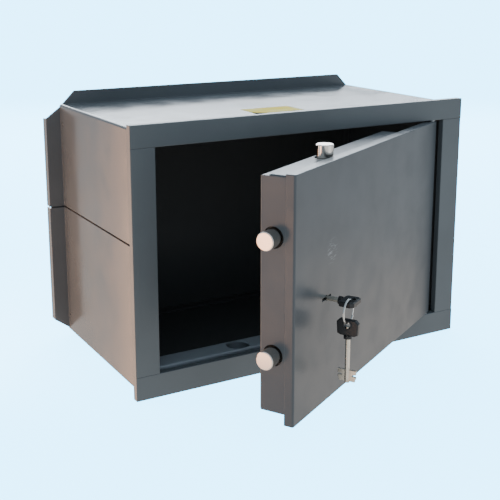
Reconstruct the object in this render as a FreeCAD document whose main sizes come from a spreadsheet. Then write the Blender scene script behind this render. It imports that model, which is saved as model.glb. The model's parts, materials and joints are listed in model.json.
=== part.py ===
import FreeCAD, Part
import os
import re

import Sketcher
from FreeCAD import Placement, Rotation, Vector

# Wall safe: a folded steel cabinet that is built into a wall, and a door on two pins whose four
# bolts are thrown by a double-bitted key. Millimetres. +X to the right, +Y into the wall, +Z up.
# The origin is the middle of the recess, on the wall's face, which is the back of the front frame.
# The door is drawn closed and then turned open about its pins.

os.makedirs("parts", exist_ok=True)
doc = FreeCAD.newDocument("wall_safe")

# ---------------------------------------------------------------- driving dimensions
SIZES = {
    "cabinet": {
        "frame_width": 440, "frame_height": 300, "frame_depth": 8,
        "stile_width": 28, "rail_top": 24.5, "rail_bottom": 27.5, "frame_edge_round": 0.8,
        "cabinet_depth": 221, "side_overhang": 6.5, "end_overhang": 5.3,
        "shell_wall": 3, "shell_bend": 3.5, "seam_height": 168, "seam_gap": 2.2,
        "side_flange": 18.5, "top_flange": 15.5, "flange_lip": 11, "flange_corner": 17,
        "strip_height": 32, "strip_wall": 2.5, "strip_gap": 0.5, "weld_hole_radius": 2.3, "weld_hole_inset": 6,
        "weld_hole_drop": 24, "back_wall": 2.5, "back_rim": 15,
        "keeper_depth": 28, "keeper_wall": 2.5, "keeper_bend": 2.2, "keeper_raise": 2.5,
        "keeper_setback": 3, "keeper_lip": 8, "keeper_hole_radius": 11.5, "keeper_hole_shift": 2,
        "keeper_hole_stretch": 4.5, "keeper_hinge_gap": 18,
        "jamb_width": 36, "jamb_wall": 3, "jamb_setback": 7, "jamb_end_gap": 2,
        "label_width": 64, "label_depth": 38, "label_thickness": 0.4,
        "label_x": -15, "label_y": 53,
    },
    "door": {
        "free_gap": 2, "hinge_gap": 8.5, "end_gap": 1.5, "plate_depth": 10, "plate_round": 2,
        "door_open": 30, "pin_inset": 5.5, "pin_depth": 4.2, "pin_radius": 2.5,
        "pin_in_plate": 15, "pin_in_rail": 12, "pin_running": 0.05, "pin_end_gap": 1,
        "washer_radius": 4.2, "washer_thickness": 0.9, "washer_shift": 0.8,
        "tray_width": 285, "tray_depth": 27, "tray_wall": 2, "tray_bend": 3,
        "tray_top_step": 3, "tray_bottom_step": 11.5, "bolt_hole_clear": 1.6,
        "post_radius": 6, "post_inset": 14, "tray_screw_radius": 2.5, "tray_screw_head": 4.6,
        "tray_screw_length": 14, "tray_screw_end_gap": 1, "tray_head_depth": 1.6,
        "tray_head_clear": 0.2, "tray_socket_radius": 1.55,
    },
    "bolts": {
        "bolt_radius": 9, "bolt_axis_depth": 22.5, "bolt_chamfer": 0.8,
        "side_bolt_spread": 57.6, "side_bolt_out": 16.5, "side_bolt_length": 44,
        "end_bolt_x": 106, "top_bolt_out": 13.4, "bottom_bolt_out": 15, "end_bolt_length": 29,
        "flat_clear": 0.5, "travel": 16, "carriage_depth": 4, "carriage_bar": 16, "carriage_bar_gap": 11.5,
        "drive_gap": 28.5, "drive_wall": 5, "drive_pin_radius": 3, "slot_clear": 0.35,
        "rod_width": 14, "rod_depth": 4, "rod_gap": 0.5, "rod_end": 4,
        "stud_radius": 3, "stud_head": 5.5, "stud_head_depth": 1.6, "stud_play": 0.4,
        "stud_x": 52, "stud_from_drive": 10,
        "guide_wall": 7, "guide_side": 5, "guide_gap": 1.5, "guide_back_gap": 1,
        "bolt_running": 0.3, "carriage_screw_head": 4, "carriage_screw_depth": 1.8,
    },
    "lock": {
        "key_x": 69, "key_height": 109.6, "armour_depth": 2, "case_left": 23, "case_right": 24,
        "case_below": 27, "case_above": 61, "case_depth": 22.5, "case_wall": 2,
        "lid_depth": 1.5, "case_screw_radius": 2, "case_screw_head": 3.4, "case_screw_inset": 4,
        "case_screw_clear": 0.1,
        "shaft_radius": 2.4, "bit_reach": 9.5, "bit_thickness": 2.4, "bit_start": 19,
        "bit_length": 11.5, "bit_cut": 2.2, "bit_cut_depth": 4.4, "bit_cut_start": 4,
        "bit_step": 1, "bit_step_length": 3, "tip_length": 1.5,
        "keyhole_clear": 0.5, "bit_clear": 0.4, "shaft_clear": 0.2, "sweep_clear": 0.8, "curtain_radius": 12, "curtain_disc": 2,
        "curtain_barrel": 6, "curtain_play": 0.25,
        "lock_bolt_depth": 4, "lock_bolt_edge": 5, "lock_bolt_clear": 0.4, "lock_bolt_end_gap": 0.6,
        "lever_count": 5, "lever_wall": 0.9, "lever_gap": 0.25, "lever_play": 0.6,
        "lever_edge": 4, "lever_corner": 6, "lever_shoulder": 8, "lever_head": 4,
        "lever_rise": 3, "lever_pivot_above": 47.5, "lever_running": 0.08, "gate_clear": 1.9,
        "lever_post_radius": 3.5, "stump_radius": 2.2, "stump_above": 25, "stump_x": -9,
        "stump_wall": 2,
    },
    "keys": {
        "bow_width": 23, "bow_length": 16.5, "bow_thickness": 5.4, "bow_start": 16.5,
        "bow_corner": 3.2, "bow_taper": 0.8, "bow_edge_round": 1.2, "boss_radius": 4.2,
        "boss_length": 3, "bow_socket": 9, "bow_hole_radius": 3.5, "bow_hole_edge": 5.6,
        "ring_radius": 11.4, "wire_radius": 0.9, "ring_side": 8.4, "ring_drop": 6.5,
        "ring_slack": 0.5,
    },
}

# Places and lengths worked out from the driving dimensions.
PLACES = {
    "open_left": "-frame_width / 2 + stile_width",
    "open_right": "frame_width / 2 - stile_width",
    "open_bottom": "-frame_height / 2 + rail_bottom",
    "open_top": "frame_height / 2 - rail_top",
    "front": "-frame_depth",
    "wall_x": "frame_width / 2 - side_overhang",
    "inner_x": "wall_x - shell_wall",
    "roof": "frame_height / 2 - end_overhang",
    "ceiling": "roof - shell_wall",
    "seam": "seam_height - frame_height / 2",
    "flange_x": "wall_x + side_flange",
    "rear": "cabinet_depth + shell_wall",
    "sill": "open_bottom + keeper_raise",
    "lintel": "open_top - keeper_raise",
    "plate_left": "open_left + free_gap",
    "plate_right": "open_right - hinge_gap",
    "plate_bottom": "open_bottom + end_gap",
    "plate_top": "open_top - end_gap",
    "plate_back": "front + plate_depth",
    "pin_x": "plate_right - pin_inset",
    "pin_y": "front + pin_depth",
    "tray_right": "plate_left + tray_width",
    "tray_top": "plate_top - tray_top_step",
    "tray_bottom": "plate_bottom + tray_bottom_step",
    "tray_back": "plate_back + tray_depth",
    "tray_inside": "tray_back - tray_wall",
    "tray_middle": "(tray_top + tray_bottom) / 2",
    "bolt_y": "front + bolt_axis_depth",
    "bolt_bore": "bolt_radius + bolt_hole_clear",
    "end_bolt": "plate_left + end_bolt_x",
    "side_bolt_tip": "plate_left - side_bolt_out",
    "top_tip": "tray_top + top_bolt_out",
    "bottom_tip": "tray_bottom - bottom_bolt_out",
    "carriage_y": "bolt_y + rod_depth",
    "carriage_left": "plate_left + carriage_bar_gap",
    "bar_right": "carriage_left + carriage_bar",
    "rod_y": "carriage_y - rod_gap - rod_depth",
    "key_axis_x": "plate_left + key_x",
    "key_axis_z": "plate_bottom + key_height",
    "case_x0": "key_axis_x - case_left",
    "case_x1": "key_axis_x + case_right",
    "case_z0": "key_axis_z - case_below",
    "case_z1": "key_axis_z + case_above",
    "case_y0": "plate_back + armour_depth",
    "case_y1": "case_y0 + case_depth",
    "case_floor": "case_y0 + case_wall",
    "case_lid": "case_y1 - lid_depth",
    "sweep": "bit_reach + sweep_clear",
    "top_drive": "case_z1 + drive_gap",
    "bottom_drive": "case_z0 - drive_gap",
    "drive_edge": "drive_pin_radius + slot_clear + drive_wall",
    "lever_y": "carriage_y + lever_play",
    "lever_window": "sweep + lever_rise",
    "lever_half": "lever_window + lever_edge",
    "lever_pivot": "key_axis_z + lever_pivot_above",
    "stump_z": "key_axis_z + stump_above",
    "stump_axis": "key_axis_x + stump_x",
    "ring_x": "key_axis_x - ring_side",
    "ring_y": "front - bow_start - bow_length + bow_hole_edge",
    "ring_z": "key_axis_z - ring_drop",
}

sheet = doc.addObject("Spreadsheet::Sheet", "Sizes")
row = 1
for group, cells in SIZES.items():
    sheet.set(f"A{row}", group)
    row += 1
    for name, value in cells.items():
        sheet.set(f"A{row}", name)
        sheet.set(f"B{row}", str(value))
        sheet.setAlias(f"B{row}", name)
        row += 1
doc.recompute()
ALIASES = {name for cells in SIZES.values() for name in cells}


def term(text):
    """Write an expression of size and place names in terms of the sheet's cells."""

    def swap(match):
        word = match.group(0)
        if word in PLACES:
            return f"({term(PLACES[word])})"
        return f"Sizes.{word}" if word in ALIASES else word

    return re.sub(r"[a-z_][a-z_0-9]*", swap, str(text))


def val(text):
    """The present value of an expression, as a plain number."""
    return float(sheet.evalExpression(term(text)))


def bind(obj, prop, text):
    obj.setExpression(prop, term(text))


# ---------------------------------------------------------------- sketches and features
# For each plane: the origin plane's role, the sign of its normal along the axis it is swept on.
PLANES = {"XY": ("XY_Plane", 1), "XZ": ("XZ_Plane", -1), "YZ": ("YZ_Plane", 1)}


def point(sketch, geometry, position, place):
    """Pin one point of a sketch to a place given by two expressions."""
    for kind, text in zip(("DistanceX", "DistanceY"), place):
        index = sketch.addConstraint(
            Sketcher.Constraint(kind, geometry, position, val(text)))
        sketch.setExpression(f"Constraints[{index}]", term(text))


def radius(sketch, geometry, text):
    index = sketch.addConstraint(Sketcher.Constraint("Radius", geometry, val(text)))
    sketch.setExpression(f"Constraints[{index}]", term(text))


def poly(*places):
    """A closed outline through places, each a pair of expressions."""

    def draw(sketch):
        ends = [Vector(val(u), val(v), 0) for u, v in places]
        count = len(ends)
        first = sketch.GeometryCount
        for i in range(count):
            sketch.addGeometry(Part.LineSegment(ends[i], ends[(i + 1) % count]))
        for i in range(count):
            sketch.addConstraint(Sketcher.Constraint(
                "Coincident", first + i, 2, first + (i + 1) % count, 1))
        for i in range(count):
            point(sketch, first + i, 1, places[i])

    return draw


def rect(u0, v0, u1, v1):
    return poly((u0, v0), (u1, v0), (u1, v1), (u0, v1))


def circle(u, v, size):
    def draw(sketch):
        index = sketch.addGeometry(
            Part.Circle(Vector(val(u), val(v), 0), Vector(0, 0, 1), val(size)))
        point(sketch, index, 3, (u, v))
        radius(sketch, index, size)

    return draw


def slot(u0, v0, u1, v1, size):
    """A round-ended slot between two centres."""

    def draw(sketch):
        a, b, r = Vector(val(u0), val(v0), 0), Vector(val(u1), val(v1), 0), val(size)
        along = (b - a).normalize()
        side = Vector(-along.y, along.x, 0) * r
        start = sketch.GeometryCount
        sketch.addGeometry(Part.Arc(a + side, a - along * r, a - side))
        sketch.addGeometry(Part.LineSegment(a - side, b - side))
        sketch.addGeometry(Part.Arc(b - side, b + along * r, b + side))
        sketch.addGeometry(Part.LineSegment(b + side, a + side))
        point(sketch, start, 3, (u0, v0))
        point(sketch, start + 2, 3, (u1, v1))
        radius(sketch, start, size)
        for first, end, second in ((0, 2, 1), (1, 2, 2), (2, 2, 3), (3, 2, 0)):
            sketch.addConstraint(
                Sketcher.Constraint("Tangent", start + first, end, start + second, 1))

    return draw


def body(name):
    made = doc.addObject("PartDesign::Body", name)
    made.Label = name
    return made


def sweep(owner, kind, plane, start, length, *outlines):
    """Pad or pocket outlines on a plane, from start onwards along the plane's own axis."""
    role, normal = PLANES[plane]
    sketch = owner.newObject("Sketcher::SketchObject", f"{owner.Name}_sketch")
    face = next(f for f in owner.Origin.OriginFeatures if f.Role == role)
    sketch.AttachmentSupport = [(face, "")]
    sketch.MapMode = "FlatFace"
    bind(sketch, "AttachmentOffset.Base.z", start if normal > 0 else f"-({start})")
    for draw in outlines:
        draw(sketch)
    before = 0.0 if kind == "Pad" else owner.Shape.Volume
    feature = owner.newObject(f"PartDesign::{kind}", f"{owner.Name}_{kind.lower()}")
    feature.Profile = sketch
    bind(feature, "Length", length)
    feature.Reversed = (normal < 0) == (kind == "Pad")
    doc.recompute()
    if kind == "Pocket" and owner.Shape.Volume > before - 1e-3:
        raise ValueError(f"{owner.Name}: a pocket cut nothing")
    return feature


def pad(owner, plane, start, length, *outlines):
    return sweep(owner, "Pad", plane, start, length, *outlines)


def pocket(owner, plane, start, length, *outlines):
    return sweep(owner, "Pocket", plane, start, length, *outlines)


def round_edges(owner, size, wanted, kind="Fillet"):
    """Round or chamfer the edges of a body that answer to wanted(edge)."""
    base = owner.Tip
    names = [f"Edge{i + 1}" for i, edge in enumerate(base.Shape.Edges) if wanted(edge)]
    if not names:
        raise ValueError(f"{owner.Name}: no edge to round")
    feature = owner.newObject(f"PartDesign::{kind}", f"{owner.Name}_{kind.lower()}")
    feature.Base = (base, names)
    bind(feature, "Radius" if kind == "Fillet" else "Size", size)
    doc.recompute()


def along(axis):
    """A test for straight edges that run along an axis, with any further tests on their middle."""
    direction = {"X": Vector(1, 0, 0), "Y": Vector(0, 1, 0), "Z": Vector(0, 0, 1)}[axis]

    def at(**places):
        def test(edge):
            if edge.Curve.TypeId != "Part::GeomLine":
                return False
            if edge.tangentAt(edge.FirstParameter).cross(direction).Length > 1e-6:
                return False
            middle = edge.CenterOfMass
            return all(
                any(abs(getattr(middle, key) - val(v)) < 1e-4 for v in wanted)
                for key, wanted in places.items())

        return test

    return at


def any_of(*tests):
    return lambda edge: any(test(edge) for test in tests)


AXES = {"X": Rotation(Vector(0, 1, 0), 90), "Y": Rotation(Vector(1, 0, 0), -90),
        "Z": Rotation()}


def bar(name, axis, place, size, length):
    """A round bar that starts at a place and runs along an axis."""
    made = doc.addObject("Part::Cylinder", name)
    made.Placement = Placement(Vector(), AXES[axis])
    bind(made, "Radius", size)
    bind(made, "Height", length)
    for key, text in zip("xyz", place):
        bind(made, f"Placement.Base.{key}", text)
    return made


def fuse(name, pieces):
    made = doc.addObject("Part::MultiFuse", name)
    made.Shapes = pieces
    made.Label = name
    return made


def cut(name, base, tools):
    made = doc.addObject("Part::Cut", name)
    made.Base = base
    made.Tool = tools if not isinstance(tools, list) else fuse(f"{name}_tools", tools)
    made.Label = name
    return made


def group(name, pieces):
    """Identical loose pieces that share one node."""
    made = doc.addObject("Part::Compound", name)
    made.Links = pieces
    made.Label = name
    return made


nodes = []


def node(made, place=None):
    """Keep a finished sub-part, set at its place."""
    doc.recompute()
    if place is not None:
        made.Placement = place
    nodes.append(made)
    return made


# ---------------------------------------------------------------- cabinet
def make_frame():
    """Four flat bars, butted and welded into the front frame."""
    half = "frame_width / 2"
    tall = "frame_height / 2"
    bars = {
        "frame_top_rail": (f"-{half}", "open_top", half, tall),
        "frame_bottom_rail": (f"-{half}", f"-{tall}", half, "open_bottom"),
        "frame_left_stile": (f"-{half}", "open_bottom", "open_left", "open_top"),
        "frame_right_stile": ("open_right", "open_bottom", half, "open_top"),
    }
    for name, (x0, z0, x1, z1) in bars.items():
        made = body(name)
        pad(made, "XZ", "front", "frame_depth", rect(x0, z0, x1, z1))
        if name.endswith("rail"):
            start = "open_top" if "top" in name else "open_bottom - pin_in_rail"
            pocket(made, "XY", start, "pin_in_rail",
                   circle("pin_x", "pin_y", "pin_radius + pin_running"))
            round_edges(made, "frame_edge_round", any_of(
                along("X")(y=["front"]), along("Y")(x=[x0, x1], z=[tall, f"-{tall}"])))
        else:
            round_edges(made, "frame_edge_round", along("Z")(y=["front"]))
        node(made)


def flange_end(sign):
    """The height at which a side flange's slanted end meets its outer edge."""
    return f"{sign}(roof - flange_corner)"


def make_shell(name, sign, upper):
    """Half of the cabinet's skin: three folded walls, and flanges turned out at the rear."""
    made = body(name)
    edge = f"seam {sign} seam_gap / 2"
    outer = f"{sign}(roof)"
    inner = f"{sign}(ceiling)"
    pad(made, "XZ", 0, "rear", poly(
        ("-wall_x", edge), ("-wall_x", outer), ("wall_x", outer), ("wall_x", edge),
        ("inner_x", edge), ("inner_x", inner), ("-inner_x", inner), ("-inner_x", edge)))
    round_edges(made, "shell_bend", along("Y")(x=["wall_x", "-wall_x"], z=[outer]))
    for side in ("-", ""):
        pad(made, "XZ", "cabinet_depth", "shell_wall", poly(
            (f"{side}(wall_x - shell_wall / 2)", edge),
            (f"{side}(wall_x - shell_wall / 2)", f"{sign}(roof - shell_bend)"),
            (f"{side}wall_x", f"{sign}(roof - shell_bend)"),
            (f"{side}flange_x", flange_end(sign)),
            (f"{side}flange_x", edge)))
        pad(made, "XY", edge if upper else flange_end(sign),
            f"abs(({flange_end(sign)}) - ({edge}))",
            rect(f"{side}(flange_x - shell_wall)", "cabinet_depth",
                 f"{side}flange_x", "cabinet_depth + flange_lip"))
    if upper:
        pad(made, "XZ", "cabinet_depth", "shell_wall", poly(
            ("-wall_x + shell_bend", "roof - shell_wall / 2"),
            ("-wall_x + shell_bend", "roof"),
            ("-wall_x + shell_bend + top_flange", "roof + top_flange"),
            ("wall_x - shell_bend - top_flange", "roof + top_flange"),
            ("wall_x - shell_bend", "roof"), ("wall_x - shell_bend", "roof - shell_wall / 2")))
    hole_y = "cabinet_depth - weld_hole_inset"
    pocket(made, "YZ", "-wall_x - 1", "2 * wall_x + 2",
           circle(hole_y, f"{sign}(roof - weld_hole_drop)", "weld_hole_radius"))
    node(made)


def make_seam_strips():
    """Flat strips that back the seam: one inside each side wall, one behind each side flange."""
    low, high = "seam - strip_height / 2", "seam + strip_height / 2"
    for hand, x in (("left", "-inner_x"), ("right", "inner_x - strip_wall")):
        made = body(f"seam_strip_{hand}")
        pad(made, "YZ", x, "strip_wall", rect(
            "jamb_setback + jamb_wall + strip_gap", low, "rear - back_rim - strip_gap", high))
        node(made)
    for hand, side in (("left", "-"), ("right", "")):
        made = body(f"flange_strip_{hand}")
        pad(made, "XZ", "rear", "strip_wall",
            rect(f"{side}(flange_x - shell_wall)", low, f"{side}inner_x", high))
        node(made)


def make_back_panel():
    """A shallow tray that closes the rear, plug-welded to the shells through its rim."""
    made = body("back_panel")
    pad(made, "XZ", "rear - back_rim", "back_rim",
        rect("-inner_x", "-ceiling", "inner_x", "ceiling"))
    round_edges(made, "back_wall", along("Y")(x=["inner_x", "-inner_x"]))
    inset_x = "inner_x - back_wall"
    inset_z = "ceiling - back_wall"
    pocket(made, "XZ", "rear - back_rim", "back_rim - back_wall",
           rect(f"-({inset_x})", f"-({inset_z})", inset_x, inset_z))
    node(made)


def make_keepers():
    """Folded channels behind the rails: the door stops on them and the end bolts enter them."""
    for name, sign, level in (("keeper_bottom", "-", "sill"), ("keeper_top", "", "lintel")):
        inside = f"({level}) {'-' if sign else '+'} keeper_wall"
        lip = f"({level}) {'-' if sign else '+'} keeper_lip"
        made = body(name)
        pad(made, "YZ", "-inner_x", "inner_x + pin_x - keeper_hinge_gap", poly(
            ("keeper_setback", lip), ("keeper_setback", level),
            ("keeper_setback + keeper_depth", level),
            ("keeper_setback + keeper_depth", f"{sign}ceiling"),
            ("keeper_setback + keeper_depth - keeper_wall", f"{sign}ceiling"),
            ("keeper_setback + keeper_depth - keeper_wall", inside),
            ("keeper_setback + keeper_wall", inside), ("keeper_setback + keeper_wall", lip)))
        round_edges(made, "keeper_bend", along("X")(
            y=["keeper_setback", "keeper_setback + keeper_depth"], z=[level]))
        hole_y = "bolt_y + keeper_hole_shift"
        pocket(made, "XY", f"({level}) - keeper_lip", "2 * keeper_lip", slot(
            "end_bolt", hole_y, "end_bolt + keeper_hole_stretch", hole_y, "keeper_hole_radius"))
        node(made)


def make_hinge_jamb():
    """A flat strip welded behind the right stile, which closes the view past the door's edge."""
    made = body("hinge_jamb")
    pad(made, "XZ", "jamb_setback", "jamb_wall", rect(
        "inner_x - jamb_width", "sill + jamb_end_gap", "inner_x", "lintel - jamb_end_gap"))
    node(made)


def make_hinge_washers():
    """Thin washers that carry the door in the gap below it and centre it above."""
    for name, start in (("hinge_washer_bottom", "open_bottom"),
                        ("hinge_washer_top", "open_top - washer_thickness")):
        disc = bar(f"{name}_disc", "Z", ("pin_x", "pin_y + washer_shift", start), "washer_radius",
                   "washer_thickness")
        hole = bar(f"{name}_hole", "Z", ("pin_x", "pin_y", start), "pin_radius + pin_running",
                   "washer_thickness")
        node(cut(name, disc, hole))


def make_label():
    """A blank paper label stuck on the roof."""
    made = body("roof_label")
    pad(made, "XY", "roof", "label_thickness", rect(
        "label_x - label_width / 2", "label_y - label_depth / 2",
        "label_x + label_width / 2", "label_y + label_depth / 2"))
    node(made)


# ---------------------------------------------------------------- door
def open_pose():
    """The place of everything on the door: turned open about its pins."""
    axis = Vector(val("pin_x"), val("pin_y"), 0)
    return Placement(Vector(), Rotation(Vector(0, 0, 1), val("door_open")), axis)


def key_slot(reach):
    """The outline that lets the key's bits pass, out to a reach on either side."""
    return rect(f"key_axis_x - ({reach})", "key_axis_z - bit_thickness / 2 - bit_clear",
                f"key_axis_x + ({reach})", "key_axis_z + bit_thickness / 2 + bit_clear")


def cut_keyhole(made, start, length):
    pocket(made, "XZ", start, length,
           circle("key_axis_x", "key_axis_z", "shaft_radius + keyhole_clear"))
    pocket(made, "XZ", start, length, key_slot("bit_reach + keyhole_clear"))


def make_door_plate(pose):
    """The solid front plate, with the keyhole and a blind hole in each end for a hinge pin."""
    made = body("door_plate")
    pad(made, "XZ", "front", "plate_depth",
        rect("plate_left", "plate_bottom", "plate_right", "plate_top"))
    round_edges(made, "plate_round", along("Z")(y=["front"]))
    round_edges(made, "frame_edge_round", along("X")(y=["front"]))
    for start in ("plate_bottom", "plate_top - pin_in_plate"):
        pocket(made, "XY", start, "pin_in_plate", circle("pin_x", "pin_y", "pin_radius"))
    cut_keyhole(made, "front", "plate_depth")
    node(made, pose)


def make_hinge_pins(pose):
    """Steel pins pressed into the plate, which turn in the rails."""
    length = "pin_in_plate + end_gap + pin_in_rail - pin_end_gap"
    for name, start in (("hinge_pin_top", "plate_top - pin_in_plate"),
                        ("hinge_pin_bottom", f"plate_bottom + pin_in_plate - ({length})")):
        made = body(name)
        pad(made, "XY", start, length, circle("pin_x", "pin_y", "pin_radius"))
        node(made, pose)


def make_tray(pose):
    """The folded tray welded behind the plate, which houses the lock and the bolts."""
    made = body("door_tray")
    pad(made, "XZ", "plate_back", "tray_depth",
        rect("plate_left", "tray_bottom", "tray_right", "tray_top"))
    round_edges(made, "tray_bend", lambda edge: abs(edge.CenterOfMass.y - val("tray_back")) < 1e-4)
    pocket(made, "XZ", "plate_back", "tray_depth - tray_wall", rect(
        "plate_left + tray_wall", "tray_bottom + tray_wall",
        "tray_right - tray_wall", "tray_top - tray_wall"))
    for sign in "+-":
        pocket(made, "YZ", "plate_left", "tray_wall",
               circle("bolt_y", f"tray_middle {sign} side_bolt_spread", "bolt_bore"))
    pocket(made, "XY", "tray_bottom", "tray_top - tray_bottom",
           circle("end_bolt", "bolt_y", "bolt_bore"))
    for x, z in tray_corners():
        pocket(made, "XZ", "tray_inside", "tray_wall", circle(x, z, "tray_screw_head + tray_head_clear"))
    node(made, pose)


def tray_corners():
    """The four places where the tray is screwed to its posts."""
    return [(x, z)
            for x in ("plate_left + post_inset", "tray_right - post_inset")
            for z in ("tray_bottom + post_inset", "tray_top - post_inset")]


def make_tray_posts(pose):
    posts = []
    for i, (x, z) in enumerate(tray_corners()):
        round_bar = bar(f"post_bar_{i}", "Y", (x, "plate_back", z), "post_radius",
                        "tray_inside - plate_back")
        bore = bar(f"post_bore_{i}", "Y", (x, "tray_inside - tray_screw_length", z),
                   "tray_screw_radius", "tray_screw_length")
        posts.append(cut(f"post_{i}", round_bar, bore))
    node(group("tray_posts", posts), pose)


def make_tray_screws(pose):
    screws = []
    for i, (x, z) in enumerate(tray_corners()):
        length = "tray_screw_length - tray_screw_end_gap"
        shank = bar(f"tray_shank_{i}", "Y", (x, f"tray_inside - ({length})", z),
                    "tray_screw_radius", length)
        head = bar(f"tray_head_{i}", "Y", (x, "tray_inside", z), "tray_screw_head",
                   "tray_head_depth")
        hexagon = doc.addObject("Part::Prism", f"tray_socket_{i}")
        hexagon.Polygon = 6
        hexagon.Placement = Placement(Vector(), AXES["Y"])
        bind(hexagon, "Circumradius", "tray_socket_radius")
        bind(hexagon, "Height", "tray_head_depth")
        for key, text in zip("xyz", (x, "tray_inside + tray_head_depth / 3", z)):
            bind(hexagon, f"Placement.Base.{key}", text)
        screws.append(cut(f"tray_screw_{i}", fuse(f"tray_screw_blank_{i}", [shank, head]), hexagon))
    node(group("tray_screws", screws), pose)


def make_guides(pose):
    """Blocks behind the plate that carry the round bolts just inside the tray's walls."""
    reach = "bolt_radius + guide_side"
    left = "plate_left + tray_wall + guide_gap"
    for name, sign in (("bolt_guide_upper", "+"), ("bolt_guide_lower", "-")):
        z = f"(tray_middle {sign} side_bolt_spread)"
        made = body(name)
        pad(made, "YZ", left, "guide_wall", rect(
            "plate_back", f"{z} - ({reach})", "tray_inside - guide_back_gap", f"{z} + {reach}"))
        pocket(made, "YZ", left, "guide_wall", circle("bolt_y", z, "bolt_radius + bolt_running"))
        node(made, pose)
    for name, z in (("bolt_guide_top", "tray_top - tray_wall - guide_gap - guide_wall"),
                    ("bolt_guide_bottom", "tray_bottom + tray_wall + guide_gap")):
        made = body(name)
        pad(made, "XY", z, "guide_wall", rect(
            f"end_bolt - ({reach})", "plate_back", f"end_bolt + {reach}", "tray_inside - guide_back_gap"))
        pocket(made, "XY", z, "guide_wall", circle("end_bolt", "bolt_y", "bolt_radius + bolt_running"))
        node(made, pose)


def stud_places():
    x = "plate_left + stud_x"
    return [(x, "top_drive - stud_from_drive"), (x, "bottom_drive + stud_from_drive")]


def make_carriage_studs(pose):
    """Headed studs on the plate that the carriage's long slots slide on."""
    studs = []
    for i, (x, z) in enumerate(stud_places()):
        shank = bar(f"stud_shank_{i}", "Y", (x, "plate_back", z), "stud_radius",
                    "carriage_y + carriage_depth + stud_play - plate_back")
        head = bar(f"stud_head_{i}", "Y", (x, "carriage_y + carriage_depth + stud_play", z),
                   "stud_head", "stud_head_depth")
        studs.append(fuse(f"stud_{i}", [shank, head]))
    node(group("carriage_studs", studs), pose)


# ---------------------------------------------------------------- lock
def case_corners():
    return [(x, z)
            for x in ("case_x0 + case_screw_inset", "case_x1 - case_screw_inset")
            for z in ("case_z0 + case_screw_inset", "case_z1 - case_screw_inset")]


def screw_holes():
    return [circle(x, z, "case_screw_radius + case_screw_clear") for x, z in case_corners()]


def make_armour(pose):
    """A hardened plate between the door and the lock, against drilling."""
    made = body("hard_plate")
    pad(made, "XZ", "plate_back", "armour_depth",
        rect("case_x0", "case_z0", "case_x1", "case_z1"), *screw_holes())
    cut_keyhole(made, "plate_back", "armour_depth")
    node(made, pose)


def make_lock_case(pose):
    made = body("lock_case")
    pad(made, "XZ", "case_y0", "case_depth - lid_depth",
        rect("case_x0", "case_z0", "case_x1", "case_z1"))
    round_edges(made, "case_wall / 2", along("Y")())
    pocket(made, "XZ", "case_floor", "case_depth", rect(
        "case_x0 + case_wall", "case_z0 + case_wall",
        "case_x1 - case_wall", "case_z1 - case_wall"))
    pocket(made, "XZ", "case_y0", "case_wall", *screw_holes())
    cut_keyhole(made, "case_y0", "case_wall")
    pocket(made, "YZ", "case_x0", "case_wall", rect(
        "carriage_y - lock_bolt_depth - lock_bolt_clear",
        "key_axis_z - sweep - lock_bolt_edge - lock_bolt_clear",
        "carriage_y + lock_bolt_clear", "key_axis_z + sweep + lock_bolt_edge + lock_bolt_clear"))
    node(made, pose)


def make_lock_lid(pose):
    made = body("lock_cover")
    pad(made, "XZ", "case_lid", "lid_depth",
        rect("case_x0", "case_z0", "case_x1", "case_z1"), *screw_holes())
    node(made, pose)


def make_lock_screws(pose):
    screws = []
    for i, (x, z) in enumerate(case_corners()):
        shank = bar(f"lock_shank_{i}", "Y", (x, "plate_back", z), "case_screw_radius",
                    "case_y1 - plate_back")
        head = bar(f"lock_head_{i}", "Y", (x, "case_y1", z), "case_screw_head",
                   "tray_inside - case_y1 - case_screw_clear")
        screws.append(fuse(f"lock_screw_{i}", [shank, head]))
    node(group("lock_screws", screws), pose)


def make_lever_post(pose):
    """The post in the lock's case that the levers turn on."""
    made = body("lever_post")
    pad(made, "XZ", "case_floor", "case_lid - case_floor",
        circle("key_axis_x", "lever_pivot", "lever_post_radius"))
    node(made, pose)


def make_levers(pose):
    """Thin levers on one post, with a window round the key and a gate for the bolt's stump."""
    levers = []
    for i in range(int(val("lever_count"))):
        made = body(f"lever_{i}")
        start = f"lever_y + {i} * (lever_wall + lever_gap)"
        low = "key_axis_z - lever_half"
        high = "lever_pivot + lever_post_radius + lever_edge"
        pad(made, "XZ", start, "lever_wall",
            poly(("key_axis_x - lever_half", f"{low} + lever_corner"),
                 ("key_axis_x - lever_half + lever_corner", low),
                 ("key_axis_x + lever_half - lever_corner", low),
                 ("key_axis_x + lever_half", f"{low} + lever_corner"),
                 ("key_axis_x + lever_half", "stump_z + lever_shoulder"),
                 ("key_axis_x + lever_post_radius + lever_head", high),
                 ("key_axis_x - lever_post_radius - lever_head", high),
                 ("key_axis_x - lever_half", "stump_z + lever_shoulder")),
            circle("key_axis_x", "key_axis_z", "lever_window"),
            circle("key_axis_x", "lever_pivot", "lever_post_radius + lever_running"),
            slot("stump_axis", "stump_z", "stump_axis + travel", "stump_z", "stump_radius + gate_clear"))
        levers.append(made)
    node(group("lever_pack", levers), pose)


def make_curtain(pose):
    """The slotted drum that turns with the key and closes the keyhole behind it."""
    made = body("key_curtain")
    disc = "case_floor + curtain_play"
    pad(made, "XZ", disc, "curtain_disc", circle("key_axis_x", "key_axis_z", "curtain_radius"))
    pad(made, "XZ", disc, "case_lid - curtain_play - case_floor - curtain_play",
        circle("key_axis_x", "key_axis_z", "curtain_barrel"))
    span = "case_lid - case_floor"
    pocket(made, "XZ", disc, span, circle("key_axis_x", "key_axis_z", "shaft_radius + shaft_clear"))
    pocket(made, "XZ", disc, span, key_slot("bit_reach + keyhole_clear"))
    node(made, pose)


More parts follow.
